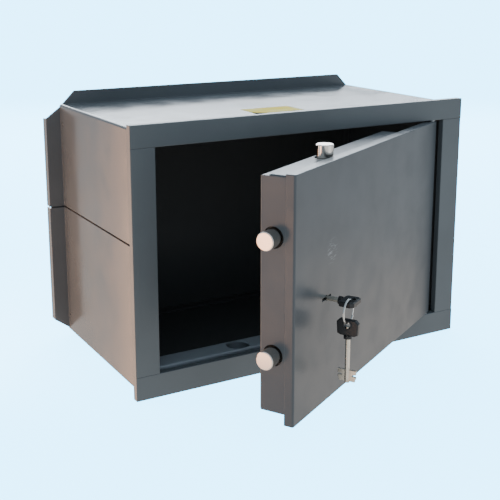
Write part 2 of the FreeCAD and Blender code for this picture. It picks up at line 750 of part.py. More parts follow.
# ---------------------------------------------------------------- bolt work
def make_side_bolts(pose):
    for name, sign in (("side_bolt_upper", "+"), ("side_bolt_lower", "-")):
        z = f"(tray_middle {sign} side_bolt_spread)"
        made = body(name)
        pad(made, "YZ", "side_bolt_tip", "side_bolt_length", circle("bolt_y", z, "bolt_radius"))
        round_edges(made, "bolt_chamfer",
                    lambda edge: abs(edge.CenterOfMass.x - val("side_bolt_tip")) < 1e-4, "Chamfer")
        pocket(made, "YZ", "carriage_left - flat_clear", "side_bolt_length", rect(
            "carriage_y", f"{z} - 2 * bolt_radius", "bolt_y + 2 * bolt_radius",
            f"{z} + 2 * bolt_radius"))
        node(made, pose)


def make_carriage(pose):
    """The plate that joins the side bolts and drives the end bolts by two slanted slots."""
    made = body("carriage_plate")
    top, bottom = "top_drive + drive_edge", "bottom_drive - drive_edge"
    arm = "top_drive - travel - drive_edge"
    arm_low = "bottom_drive + travel + drive_edge"
    tip = "end_bolt + drive_edge"
    x, upper = stud_places()[0]
    lower = stud_places()[1][1]
    reach = "stud_radius + slot_clear"
    pin = "drive_pin_radius + slot_clear"
    pad(made, "XZ", "carriage_y", "carriage_depth",
        poly(("carriage_left", bottom), (tip, bottom), (tip, arm_low), ("bar_right", arm_low),
             ("bar_right", arm), (tip, arm), (tip, top), ("carriage_left", top)),
        slot(f"{x} - travel", upper, x, upper, reach),
        slot(f"{x} - travel", lower, x, lower, reach),
        slot("end_bolt - travel", "top_drive - travel", "end_bolt", "top_drive", pin),
        slot("end_bolt - travel", "bottom_drive + travel", "end_bolt", "bottom_drive", pin))
    node(made, pose)


def make_lock_bolt(pose):
    """The lock's own bolt: a window round the key's sweep, a stump, and a tail to the carriage."""
    made = body("lock_bolt")
    z0 = "key_axis_z - sweep - lock_bolt_edge"
    z1 = "key_axis_z + sweep + lock_bolt_edge"
    right = "case_x1 - case_wall - travel - lock_bolt_end_gap"
    pad(made, "XZ", "carriage_y - lock_bolt_depth", "lock_bolt_depth",
        rect("carriage_left", z0, right, z1))
    pocket(made, "XZ", "carriage_y - lock_bolt_depth", "lock_bolt_depth", slot(
        "key_axis_x - travel", "key_axis_z", "key_axis_x - 0.01", "key_axis_z", "sweep"))
    pad(made, "XZ", "carriage_y - lock_bolt_depth", "lock_bolt_depth", rect(
        "stump_axis - stump_radius - stump_wall", f"{z1} - lock_bolt_edge / 2",
        "stump_axis + stump_radius + stump_wall", "stump_z + stump_radius + stump_wall / 2"))
    pad(made, "XZ", "carriage_y - lock_bolt_depth / 2",
        "lever_y + lock_bolt_depth / 2 + lever_count * (lever_wall + lever_gap) - carriage_y",
        circle("stump_axis", "stump_z", "stump_radius"))
    node(made, pose)


def make_carriage_screws(pose):
    """Screws that hold the lock's bolt and the two side bolts on the carriage."""
    screws = []
    x = "carriage_left + carriage_bar / 2"
    for i, z in enumerate(("key_axis_z", "tray_middle + side_bolt_spread",
                           "tray_middle - side_bolt_spread")):
        screws.append(bar(f"carriage_screw_{i}", "Y", (x, "carriage_y + carriage_depth", z),
                          "carriage_screw_head", "carriage_screw_depth"))
    node(group("carriage_screws", screws), pose)


def make_end_bolts(pose):
    """The top and bottom bolts, each with a flat rod whose pin rides in a slanted slot."""
    for name, tip, inward, drive in (("top_bolt", "top_tip", "-", "top_drive"),
                                     ("bottom_bolt", "bottom_tip", "+", "bottom_drive")):
        inner = f"({tip}) {inward} end_bolt_length"
        low = inner if inward == "-" else tip
        made = body(name)
        pad(made, "XY", low, "end_bolt_length", circle("end_bolt", "bolt_y", "bolt_radius"))
        round_edges(made, "bolt_chamfer",
                    lambda edge: abs(edge.CenterOfMass.z - val(tip)) < 1e-4, "Chamfer")
        node(made, pose)
        rod = body(name.replace("bolt", "rod"))
        end = f"({drive}) {inward} (drive_pin_radius + rod_end)"
        pad(rod, "XZ", "rod_y", "rod_depth", rect(
            "end_bolt - rod_width / 2", end if inward == "-" else inner,
            "end_bolt + rod_width / 2", inner if inward == "-" else end))
        pad(rod, "XZ", "rod_y", "carriage_y + carriage_depth - rod_y",
            circle("end_bolt", drive, "drive_pin_radius"))
        node(rod, pose)


# ---------------------------------------------------------------- keys
# A key is drawn along +Y with its tip forwards, its bits flat in the XY plane, and its origin
# where its axis meets the door's face.
def make_key(prefix, pose):
    blade = body(f"{prefix}_blade")
    tail = "-(bow_start + bow_socket)"
    pad(blade, "XZ", tail, "bit_start + bit_length + tip_length + bow_start + bow_socket",
        circle("0", "0", "shaft_radius"))
    cut_0 = "bit_start + bit_cut_start"
    cut_1 = f"{cut_0} + bit_cut"
    end = "bit_start + bit_length"
    notch = "bit_reach - bit_cut_depth"
    step = "bit_reach - bit_step"
    half = [("0", "bit_start"), ("bit_reach", "bit_start"), ("bit_reach", cut_0), (notch, cut_0),
            (notch, cut_1), ("bit_reach", cut_1), ("bit_reach", f"{end} - bit_step_length"),
            (step, f"{end} - bit_step_length"), (step, end)]
    mirror = [(f"-({u})", v) for u, v in reversed(half[1:])]
    pad(blade, "XY", "-bit_thickness / 2", "bit_thickness", poly(*half, *mirror))
    node(blade, pose)

    bow = body(f"{prefix}_bow")
    near, far = "-bow_start", "-(bow_start + bow_length)"
    wide, slim = "bow_width / 2", "bow_width / 2 - bow_taper"
    pad(bow, "XY", "-bow_thickness / 2", "bow_thickness", poly(
        (f"-({slim} - bow_corner)", near), (f"-({slim})", f"{near} - bow_corner / 2"),
        (f"-({wide})", f"{far} + bow_corner"), (f"-({wide} - bow_corner)", far),
        (f"{wide} - bow_corner", far), (wide, f"{far} + bow_corner"),
        (slim, f"{near} - bow_corner / 2"), (f"{slim} - bow_corner", near)))
    flat = val("bow_thickness / 2")
    round_edges(bow, "bow_edge_round", lambda edge: abs(abs(edge.CenterOfMass.z) - flat) < 1e-4)
    pad(bow, "XZ", near, "boss_length", circle("0", "0", "boss_radius"))
    pocket(bow, "XZ", f"{near} - bow_socket", "bow_socket + boss_length",
           circle("0", "0", "shaft_radius"))
    pocket(bow, "XY", "-bow_thickness", "2 * bow_thickness",
           circle("0", f"{far} + bow_hole_edge", "bow_hole_radius"))
    node(bow, pose)


def make_ring(pose):
    """The split ring, as one closed wire ring, through the bow of each key."""
    ring = doc.addObject("Part::Torus", "key_ring")
    ring.Label = "key_ring"
    bind(ring, "Radius1", "ring_radius")
    bind(ring, "Radius2", "wire_radius")
    place = Placement(Vector(val("ring_x"), val("ring_y"), val("ring_z")), AXES["Y"])
    node(ring, pose.multiply(place))


def spare_pose(pose):
    """The spare key hangs tip down from the lowest point of the ring, edge on to the door."""
    wire_z = val("ring_z - ring_radius")
    hole = val("bow_start + bow_length - bow_hole_edge")
    drop = val("bow_hole_radius - wire_radius - ring_slack")
    turn = Rotation(Vector(0, 1, 0), Vector(0, 0, -1), Vector(-1, 0, 0), "XYZ")
    return pose.multiply(Placement(
        Vector(val("ring_x"), val("ring_y"), wire_z - drop - hole), turn))


# ---------------------------------------------------------------- assembly
make_frame()
make_shell("upper_shell", "+", True)
make_shell("lower_shell", "-", False)
make_seam_strips()
make_back_panel()
make_keepers()
make_hinge_jamb()
make_hinge_washers()
make_label()

DOOR = open_pose()
make_door_plate(DOOR)
make_hinge_pins(DOOR)
make_tray(DOOR)
make_tray_posts(DOOR)
make_tray_screws(DOOR)
make_guides(DOOR)
make_carriage_studs(DOOR)
make_armour(DOOR)
make_lock_case(DOOR)
make_lock_lid(DOOR)
make_lock_screws(DOOR)
make_lever_post(DOOR)
make_levers(DOOR)
make_curtain(DOOR)
make_side_bolts(DOOR)
make_carriage(DOOR)
make_lock_bolt(DOOR)
make_carriage_screws(DOOR)
make_end_bolts(DOOR)

IN_LOCK = Placement(Vector(val("key_axis_x"), val("front"), val("key_axis_z")), Rotation())
make_key("key", DOOR.multiply(IN_LOCK))
make_ring(DOOR)
make_key("spare_key", spare_pose(DOOR))

doc.recompute()
failed = [obj.Name for obj in doc.Objects if {"Invalid", "Error"} & set(obj.State)]
failed += [obj.Label for obj in nodes if obj.Shape.isNull() or not obj.Shape.isValid()]
if failed:
    raise SystemExit(f"not built: {failed}")
for obj in nodes:
    obj.Shape.exportStep(f"parts/{obj.Label}.step")
print(len(nodes), "sub-parts written")
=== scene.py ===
"""Looks of the recessed wall safe: finishes, welds, keys, label and the studio it stands in."""

import json
import logging
import math
from dataclasses import dataclass, field
from enum import Enum
from typing import Callable, Iterable, Sequence

import bpy
from mathutils import Euler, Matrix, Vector


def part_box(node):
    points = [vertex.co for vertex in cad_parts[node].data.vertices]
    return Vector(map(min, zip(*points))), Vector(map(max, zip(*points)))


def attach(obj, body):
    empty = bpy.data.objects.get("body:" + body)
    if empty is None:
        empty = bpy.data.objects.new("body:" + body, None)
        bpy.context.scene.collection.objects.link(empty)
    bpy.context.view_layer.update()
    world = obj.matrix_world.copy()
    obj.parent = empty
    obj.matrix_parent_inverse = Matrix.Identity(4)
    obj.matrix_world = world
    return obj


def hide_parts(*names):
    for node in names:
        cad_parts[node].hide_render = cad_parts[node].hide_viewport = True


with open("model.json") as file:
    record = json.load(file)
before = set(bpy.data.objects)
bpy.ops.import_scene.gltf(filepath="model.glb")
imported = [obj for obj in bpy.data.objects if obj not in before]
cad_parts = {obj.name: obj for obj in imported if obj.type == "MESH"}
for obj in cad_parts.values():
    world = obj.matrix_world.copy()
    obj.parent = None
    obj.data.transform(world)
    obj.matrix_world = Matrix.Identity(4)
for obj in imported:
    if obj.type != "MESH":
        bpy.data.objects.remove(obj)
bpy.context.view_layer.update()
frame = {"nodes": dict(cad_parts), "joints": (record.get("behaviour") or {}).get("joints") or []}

MM = 0.001
NEAR = 1e-6  # metres within which two places count as one
DOOR_OPEN = 30.0  # degrees that the door stands open at rest

Colour = tuple[float, float, float]
Place = tuple[float, float, float]
Socket = bpy.types.NodeSocket
Piece = bpy.types.Object

logging.basicConfig(level=logging.INFO, format="%(name)s: %(message)s")
log = logging.getLogger("wall_safe")


class Body(Enum):
    """The bodies that pieces ride on."""

    CABINET = "cabinet"
    DOOR = "door"
    KEY = "key"
    RING = "ring"
    SPARE_KEY = "spare_key"


class Slot(Enum):
    """The record's material slots that new pieces take their finish from."""

    PAINT = "dark_paint"
    NICKEL = "nickel"
    PLASTIC = "bow_plastic"
    LABEL = "label_paper"


class Grain(Enum):
    """How the maker's tool leaves fine lines in bare metal."""

    TURNED = "turned"
    DRAWN = "drawn"
    TUMBLED = "tumbled"


@dataclass(frozen=True)
class Mottle:
    """Patches of noise, spread from one range of values to another."""

    scale: float
    detail: float
    low: float
    high: float
    least: float = 0.0
    most: float = 1.0


# ------------------------------------------------------------------ shader wiring
class Shader:
    """A surface being wired: one Principled shader and short ways to add what finishes share."""

    def __init__(self, name: str) -> None:
        """Start a surface.

        Args:
            name: the finish's name.
        """
        self.material = bpy.data.materials.new(name)
        self.material.use_nodes = True
        self.tree = self.material.node_tree
        self.surface = self.tree.nodes["Principled BSDF"]

    def node(self, kind: str, **settings: object) -> bpy.types.Node:
        """Add a node.

        Args:
            kind: the node's type, without its ShaderNode prefix.
            settings: properties to set on it.

        Returns:
            The new node.
        """
        made = self.tree.nodes.new(f"ShaderNode{kind}")
        for key, value in settings.items():
            setattr(made, key, value)
        return made

    def feed(self, socket: Socket, source: Socket | float | Sequence[float]) -> None:
        """Give a socket either another node's output or a constant.

        Args:
            socket: the input to feed.
            source: the output to link to it, or the constant.
        """
        if isinstance(source, bpy.types.NodeSocket):
            self.tree.links.new(source, socket)
        else:
            socket.default_value = source

    def place(
        self, spin: float = 0.0, centre: Place = (0, 0, 0), stretch: Place = (1, 1, 1)
    ) -> Socket:
        """Object coordinates about a centre.

        Args:
            spin: angle in degrees that the piece has been turned about +Z from its drawn place.
            centre: the point that becomes the pattern's own origin.
            stretch: scale of the pattern along each axis.

        Returns:
            The vector output.
        """
        source = self.node("TexCoord").outputs["Object"]
        shift = self.node("Mapping", vector_type="POINT")
        shift.inputs["Location"].default_value = tuple(-c for c in centre)
        self.feed(shift.inputs["Vector"], source)
        turn = self.node("Mapping", vector_type="POINT")
        turn.inputs["Rotation"].default_value = (0, 0, -math.radians(spin))
        self.feed(turn.inputs["Vector"], shift.outputs["Vector"])
        size = self.node("Mapping", vector_type="POINT")
        size.inputs["Scale"].default_value = stretch
        self.feed(size.inputs["Vector"], turn.outputs["Vector"])
        return size.outputs["Vector"]

    def noise(self, where: Socket, scale: float, detail: float = 4.0) -> Socket:
        """A noise value from 0 to 1.

        Args:
            where: the pattern's coordinates.
            scale: its features are about 1 / scale metres across.
            detail: how many finer layers are added.

        Returns:
            The value.
        """
        made = self.node("TexNoise")
        self.feed(made.inputs["Vector"], where)
        made.inputs["Scale"].default_value = scale
        made.inputs["Detail"].default_value = detail
        return made.outputs["Fac"]

    def patches(self, where: Socket, mottle: Mottle) -> Socket:
        """A patchy value.

        Args:
            where: the pattern's coordinates.
            mottle: the scale and the range of the patches.

        Returns:
            The value.
        """
        noise = self.noise(where, mottle.scale, mottle.detail)
        return self.span(noise, mottle.low, mottle.high, mottle.least, mottle.most)

    def rings(self, where: Socket, scale: float, wobble: float = 0.6) -> Socket:
        """Concentric turning lines about the pattern's Z axis.

        Args:
            where: the pattern's coordinates.
            scale: how close the lines lie.
            wobble: how far they stray from true circles.

        Returns:
            The value.
        """
        made = self.node("TexWave", wave_type="RINGS", rings_direction="Z", wave_profile="SAW")
        self.feed(made.inputs["Vector"], where)
        made.inputs["Scale"].default_value = scale
        made.inputs["Distortion"].default_value = wobble
        return made.outputs["Fac"]

    def span(
        self, value: Socket, low: float, high: float, to_low: float = 0.0, to_high: float = 1.0
    ) -> Socket:
        """Map a value from one range to another, held at both ends.

        Args:
            value: the value.
            low: where the first range starts.
            high: where it ends.
            to_low: what low becomes.
            to_high: what high becomes.

        Returns:
            The mapped value.
        """
        made = self.node("MapRange", interpolation_type="SMOOTHSTEP")
        self.feed(made.inputs["Value"], value)
        ends = {"From Min": low, "From Max": high, "To Min": to_low, "To Max": to_high}
        for name, number in ends.items():
            made.inputs[name].default_value = number
        return made.outputs["Result"]

    def maths(
        self, operation: str, first: Socket | float, second: Socket | float = 0.0
    ) -> Socket:
        """One step of arithmetic on values.

        Args:
            operation: the Math node's operation.
            first: its first value.
            second: its second value.

        Returns:
            The result.
        """
        made = self.node("Math", operation=operation)
        self.feed(made.inputs[0], first)
        self.feed(made.inputs[1], second)
        return made.outputs[0]

    def parts(self, vector: Socket) -> tuple[Socket, Socket, Socket]:
        """Take a vector apart.

        Args:
            vector: the vector.

        Returns:
            Its X, Y and Z.
        """
        made = self.node("SeparateXYZ")
        self.feed(made.inputs[0], vector)
        return made.outputs["X"], made.outputs["Y"], made.outputs["Z"]

    def tint(self, socket: Socket, source: Socket | Colour) -> None:
        """Give a colour socket either another node's output or a plain colour.

        Args:
            socket: the input to feed.
            source: the output to link to it, or the colour.
        """
        linked = isinstance(source, bpy.types.NodeSocket)
        self.feed(socket, source if linked else (*source, 1.0))

    def blend(
        self, amount: Socket | float, first: Socket | Colour, second: Socket | Colour
    ) -> Socket:
        """Mix two colours.

        Args:
            amount: the share of the second.
            first: the first colour.
            second: the second colour.

        Returns:
            The mixed colour.
        """
        made = self.node("Mix", data_type="RGBA")
        self.feed(made.inputs["Factor"], amount)
        self.tint(made.inputs["A"], first)
        self.tint(made.inputs["B"], second)
        return made.outputs["Result"]

    def soft_edge(self, radius: float) -> Socket:
        """A normal rounded over each sharp edge.

        Args:
            radius: the radius of the rounding, in metres.

        Returns:
            The normal.
        """
        made = self.node("Bevel", samples=4)
        made.inputs["Radius"].default_value = radius
        return made.outputs["Normal"]

    def bump(
        self, height: Socket, strength: float, depth: float, normal: Socket | None = None
    ) -> Socket:
        """A normal disturbed by a height.

        Args:
            height: the height, from 0 to 1.
            strength: share of the effect.
            depth: metres between heights 0 and 1.
            normal: the normal to start from.

        Returns:
            The new normal.
        """
        made = self.node("Bump")
        made.inputs["Strength"].default_value = strength
        made.inputs["Distance"].default_value = depth
        self.feed(made.inputs["Height"], height)
        if normal is not None:
            self.feed(made.inputs["Normal"], normal)
        return made.outputs["Normal"]

    def edge_share(self, radius: float) -> Socket:
        """Find the sharp edges.

        Args:
            radius: how far an edge reaches, in metres.

        Returns:
            A value that is 0 on flat ground and rises to 1 across sharp edges.
        """
        flat, sharp = 0.995, 0.86
        product = self.node("VectorMath", operation="DOT_PRODUCT")
        self.feed(product.inputs[0], self.soft_edge(radius))
        self.feed(product.inputs[1], self.node("NewGeometry").outputs["Normal"])
        return self.span(product.outputs["Value"], flat, sharp)

    def colour(self, source: Socket | Colour) -> None:
        """Set the base colour."""
        self.tint(self.surface.inputs["Base Color"], source)

    def set(self, **values: object) -> None:
        """Set shader sockets by name, with underscores for spaces."""
        for key, value in values.items():
            self.feed(self.surface.inputs[key.replace("_", " ")], value)


# ------------------------------------------------------------------ finishes
@dataclass(frozen=True)
class Paint:
    """Sprayed semi-gloss paint with orange peel and dust, edge wear with a painted highlight, and
    painted inner shade.
    """

    name: str
    colour: Colour = (0.062, 0.074, 0.086)
    # lighter colour for specks, scuffs and edges; on the edges it is partly a painted highlight
    wear_and_highlight: Colour = (0.2, 0.215, 0.23)
    # colour of the painted shade on the faces inside the cabinet, used where inside is given
    inner_shade: Colour = (0.065, 0.067, 0.068)
    dusty: Colour = (0.4, 0.42, 0.44)
    roughness: float = 0.36
    inner_roughness: float = 0.75
    peel: float = 0.06
    edge_wear_and_highlight: float = 0.5
    spin: float = 0.0
    inside: Place | None = None
    scuff: tuple[Place, float] | None = None
    tone_spread: float = 0.07
    scuff_glare: float = 1.6
    edge_reach: float = 0.9 * MM
    edge_round: float = 0.7 * MM
    level_ground: tuple[float, float] = (0.9, 1.0)
    cloud: Mottle = Mottle(9.0, 3.0, 0.35, 0.7)
    mist: Mottle = Mottle(1400.0, 2.0, 0.62, 0.8, 0.0, 0.12)
    dust: Mottle = Mottle(24.0, 8.0, 0.3, 0.75, 0.05, 0.16)
    scratches: Mottle = Mottle(1.0, 3.0, 0.5, 0.64, 0.0, 0.6)
    scratch_stretch: Place = (90.0, 90.0, 700.0)

    def build(self) -> bpy.types.Material:
        """Wire the finish.

        Returns:
            The material.
        """
        shade = Shader(self.name)
        where = shade.place(self.spin)
        dark = tuple((1 - self.tone_spread) * c for c in self.colour)
        light = tuple((1 + self.tone_spread) * c for c in self.colour)
        tone = shade.blend(shade.patches(where, self.cloud), dark, light)
        tone = shade.blend(shade.patches(where, self.mist), tone, self.wear_and_highlight)
        # edges take the lighter colour: partly real wear, partly a painted highlight along them
        edge_patches = Mottle(55.0, 6.0, 0.42, 0.66, 0.15, self.edge_wear_and_highlight)
        rub = shade.maths(
            "MULTIPLY", shade.edge_share(self.edge_reach), shade.patches(where, edge_patches))
        tone = shade.blend(rub, tone, self.wear_and_highlight)
        level = shade.parts(shade.node("NewGeometry").outputs["Normal"])[2]
        dust = shade.maths(
            "MULTIPLY", shade.span(level, *self.level_ground), shade.patches(where, self.dust))
        tone = shade.blend(dust, tone, self.dusty)
        gloss = Mottle(30.0, 5.0, 0.25, 0.8, self.roughness - 0.05, self.roughness + 0.07)
        rough = shade.patches(where, gloss)
        if self.scuff is not None:
            glare = tuple(self.scuff_glare * c for c in self.wear_and_highlight)
            tone = shade.blend(self.scuff_mark(shade), tone, glare)
        # painted shade: faces inside the cabinet turn darker and duller, standing in for the shade
        # in there
        if self.inside is not None:
            inner_shade_mask = self.inner_shade_share(shade)
            tone = shade.blend(inner_shade_mask, tone, self.inner_shade)
            dull = shade.maths("MULTIPLY", inner_shade_mask, self.inner_roughness)
            rough = shade.maths("MAXIMUM", rough, dull)
        shade.colour(tone)
        waves = shade.bump(
            shade.noise(where, 5.0, 1.0), 0.25, 1.2 * MM, shade.soft_edge(self.edge_round))
        skin = shade.bump(shade.noise(where, 620.0, 2.0), self.peel, 0.12 * MM, waves)
        shade.set(
            Roughness=rough, Metallic=0.0, Normal=skin, IOR=1.52, Coat_Weight=0.12,
            Coat_Roughness=0.22)
        return shade.material

    def inner_shade_share(self, shade: Shader) -> Socket:
        """Mask the faces inside the cabinet, where the paint takes painted shade.

        Args:
            shade: the surface being wired.

        Returns:
            A value that is 1 on the faces that look into the cabinet and 0 outside it.
        """
        half_width, depth, half_height = self.inside
        across, back, up = shade.parts(shade.place())
        section = shade.maths(
            "MULTIPLY",
            shade.maths("LESS_THAN", shade.maths("ABSOLUTE", across), half_width),
            shade.maths("LESS_THAN", shade.maths("ABSOLUTE", up), half_height))
        return shade.maths("MULTIPLY", section, shade.maths("LESS_THAN", back, depth))

    def scuff_mark(self, shade: Shader) -> Socket:
        """Lay a few light scratches about one point of the door.

        Args:
            shade: the surface being wired.

        Returns:
            The share of each point that is scratched.
        """
        centre, reach = self.scuff
        near = shade.place(self.spin, centre)
        length = shade.node("VectorMath", operation="LENGTH")
        shade.feed(length.inputs[0], near)
        lines = shade.noise(
            shade.place(self.spin, centre, self.scratch_stretch),
            self.scratches.scale, self.scratches.detail)
        return shade.maths(
            "MULTIPLY",
            shade.span(length.outputs["Value"], reach, reach * 0.2),
            shade.span(
                lines, self.scratches.low, self.scratches.high, self.scratches.least,
                self.scratches.most))


@dataclass(frozen=True)
class Metal:
    """Bare or plated metal with the lines its tool left."""

    name: str
    colour: Colour
    dull: Colour
    roughness: float
    grain: Grain
    lines: float = 900.0
    depth: float = 0.1
    spin: float = 0.0
    axis_at: Place = (0, 0, 0)
    drawn_length: float = 12.0
    edge_shine: float = 1.2
    edge_share: float = 0.4
    stain: Mottle = Mottle(70.0, 6.0, 0.45, 0.75, 0.0, 0.55)

    def build(self) -> bpy.types.Material:
        """Wire the finish.

        Returns:
            The material.
        """
        shade = Shader(self.name)
        where = shade.place(self.spin, self.axis_at)
        tone = shade.blend(shade.patches(where, self.stain), self.colour, self.dull)
        rub = shade.maths("MULTIPLY", shade.edge_share(0.5 * MM), self.edge_share)
        shine = tuple(min(1.0, self.edge_shine * c) for c in self.colour)
        shade.colour(shade.blend(rub, tone, shine))
        if self.grain is Grain.TURNED:
            marks = shade.rings(where, self.lines)
        elif self.grain is Grain.DRAWN:
            stretch = (self.lines, self.lines, self.drawn_length)
            marks = shade.noise(shade.place(self.spin, self.axis_at, stretch), 1.0, 3.0)
        else:
            marks = shade.noise(where, self.lines, 5.0)
        gloss = Mottle(160.0, 6.0, 0.3, 0.8, self.roughness, self.roughness * 1.6)
        rough = shade.patches(where, gloss)
        normal = shade.bump(marks, self.depth, 0.05 * MM, shade.soft_edge(0.35 * MM))
        shade.set(Metallic=1.0, Roughness=rough, Normal=normal)
        return shade.material


@dataclass(frozen=True)
class Moulded:
    """Black moulded plastic, finely grained and rubbed grey on its edges."""

    name: str
    colour: Colour = (0.012, 0.0125, 0.014)
    rubbed: Colour = (0.09, 0.09, 0.095)
    hazy: Colour = (0.035, 0.036, 0.04)
    roughness: float = 0.34
    rub: Mottle = Mottle(260.0, 5.0, 0.4, 0.7, 0.1, 0.6)
    haze: Mottle = Mottle(90.0, 5.0, 0.45, 0.8, 0.0, 0.25)

    def build(self) -> bpy.types.Material:
        """Wire the finish.

        Returns:
            The material.
        """
        shade = Shader(self.name)
        where = shade.place()
        rub = shade.maths(
            "MULTIPLY", shade.edge_share(0.6 * MM), shade.patches(where, self.rub))
        tone = shade.blend(rub, self.colour, self.rubbed)
        shade.colour(shade.blend(shade.patches(where, self.haze), tone, self.hazy))
        skin = shade.bump(
            shade.noise(where, 2600.0, 2.0), 0.2, 0.06 * MM, shade.soft_edge(0.4 * MM))
        gloss = Mottle(400.0, 4.0, 0.3, 0.8, self.roughness - 0.06, self.roughness + 0.12)
        rough = shade.patches(where, gloss)
        shade.set(Roughness=rough, Normal=skin, IOR=1.5)
        return shade.material


@dataclass(frozen=True)
class Paper:
    """A thin yellow paper label, faded in patches and dirty at its edges."""

    name: str
    middle: Place
    half_size: tuple[float, float]
    colour: Colour = (1.0, 0.76, 0.1)
    faded: Colour = (1.0, 0.86, 0.3)
    dirt: Colour = (0.5, 0.42, 0.2)
    fading: Mottle = Mottle(45.0, 5.0, 0.35, 0.7)
    grime: Mottle = Mottle(180.0, 6.0, 0.35, 0.65)
    gloss: Mottle = Mottle(90.0, 4.0, 0.3, 0.8, 0.8, 0.95)

    def build(self) -> bpy.types.Material:
        """Wire the finish.

        Returns:
            The material.
        """
        shade = Shader(self.name)
        where = shade.place(0.0, self.middle)
        across, back, _ = shade.parts(where)
        tone = shade.blend(shade.patches(where, self.fading), self.colour, self.faded)
        side = shade.maths("DIVIDE", shade.maths("ABSOLUTE", across), self.half_size[0])
        end = shade.maths("DIVIDE", shade.maths("ABSOLUTE", back), self.half_size[1])
        rim = shade.span(shade.maths("MAXIMUM", side, end), 0.86, 1.0, 0.0, 0.6)
        grime = shade.maths("MULTIPLY", rim, shade.patches(where, self.grime))
        shade.colour(shade.blend(grime, tone, self.dirt))
        fibres = shade.bump(shade.noise(where, 1500.0, 6.0), 0.25, 0.05 * MM)
        rough = shade.patches(where, self.gloss)
        shade.set(Roughness=rough, Normal=fibres, Specular_IOR_Level=0.1)
        return shade.material


# ------------------------------------------------------------------ modelling by hand
def clear_selection() -> None:
    """Leave edit mode and select nothing."""
    if bpy.context.mode != "OBJECT":
        bpy.ops.object.mode_set(mode="OBJECT")
    bpy.ops.object.select_all(action="DESELECT")


def pick(piece: Piece, test: Callable[[Vector], bool]) -> None:
    """Select the points of a piece that answer to a test, and stay in edit mode.

    Args:
        piece: the piece being shaped, which is active.
        test: takes a point's place in the piece's own space.
    """
    bpy.ops.object.mode_set(mode="EDIT")
    bpy.ops.mesh.select_mode(type="VERT")
    bpy.ops.mesh.select_all(action="DESELECT")
    bpy.ops.object.mode_set(mode="OBJECT")
    for vertex in piece.data.vertices:
        vertex.select = test(vertex.co)
    bpy.ops.object.mode_set(mode="EDIT")


def settle(piece: Piece, at: Place = (0, 0, 0), turn: Place = (0, 0, 0)) -> None:
    """Put a piece at its place and work that place into its mesh.

    Args:
        piece: the piece, modelled about the origin.
        at: where its origin goes.
        turn: its turn about X, Y and Z in degrees.
    """
    clear_selection()
    piece.select_set(True)
    bpy.context.view_layer.objects.active = piece
    piece.location = at
    piece.rotation_euler = Euler([math.radians(a) for a in turn])
    bpy.ops.object.transform_apply(location=True, rotation=True, scale=True)


def smooth(piece: Piece, bevel: float = 0.0, angle: float = 35.0) -> None:
    """Close a piece's shape: round its edges, point its faces outwards and shade it.

    Args:
        piece: the piece.
        bevel: width of the rounding on its edges, in metres.
        angle: edges sharper than this stay sharp in the shading, in degrees.
    """
    clear_selection()
    piece.select_set(True)
    bpy.context.view_layer.objects.active = piece
    bpy.ops.object.mode_set(mode="EDIT")
    bpy.ops.mesh.select_all(action="SELECT")
    bpy.ops.mesh.remove_doubles(threshold=NEAR)
    bpy.ops.mesh.normals_make_consistent(inside=False)
    bpy.ops.object.mode_set(mode="OBJECT")
    if bevel > 0:
        rounding = piece.modifiers.new("rounding", "BEVEL")
        rounding.width = bevel
        rounding.segments = 3
        rounding.limit_method = "ANGLE"
        bpy.ops.object.modifier_apply(modifier=rounding.name)
    bpy.ops.object.shade_smooth_by_angle(angle=math.radians(angle))


def dress(piece: Piece, name: str, body: Body, finish: bpy.types.Material) -> Piece:
    """Name a new piece, give it its finish and set it riding.

    Args:
        piece: the finished mesh.
        name: the piece's name.
        body: what it moves with.
        finish: its material.

    Returns:
        The piece.
    """
    piece.name = name
    piece.data.name = name
    piece.data.materials.clear()
    piece.data.materials.append(finish)
    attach(piece, body.value)
    log.info("%s rides on %s", name, body.value)
    return piece


def copy_of(piece: Piece) -> Piece:
    """Copy a piece with a mesh of its own, at the same place.

    Args:
        piece: the piece.

    Returns:
        The copy.
    """
    twin = piece.copy()
    twin.data = piece.data.copy()
    bpy.context.scene.collection.objects.link(twin)
    return twin


def paint_nodes(names: Iterable[str], finish: bpy.types.Material) -> None:
    """Give CAD nodes a finish.

    Args:
        names: the nodes.
        finish: their material.
    """
    for name in names:
        for holder in frame["nodes"][name].material_slots:
            holder.material = finish
        log.info("%s finished in %s", name, finish.name)


def joint_at(name: str) -> Vector:
    """Where a joint's axis passes, in metres."""
    return Vector(next(j["pos_m"] for j in frame["joints"] if j["name"] == name))


def joint_axis(name: str) -> Vector:
    """The direction of a joint's axis."""
    return Vector(next(j["axis"] for j in frame["joints"] if j["name"] == name)).normalized()


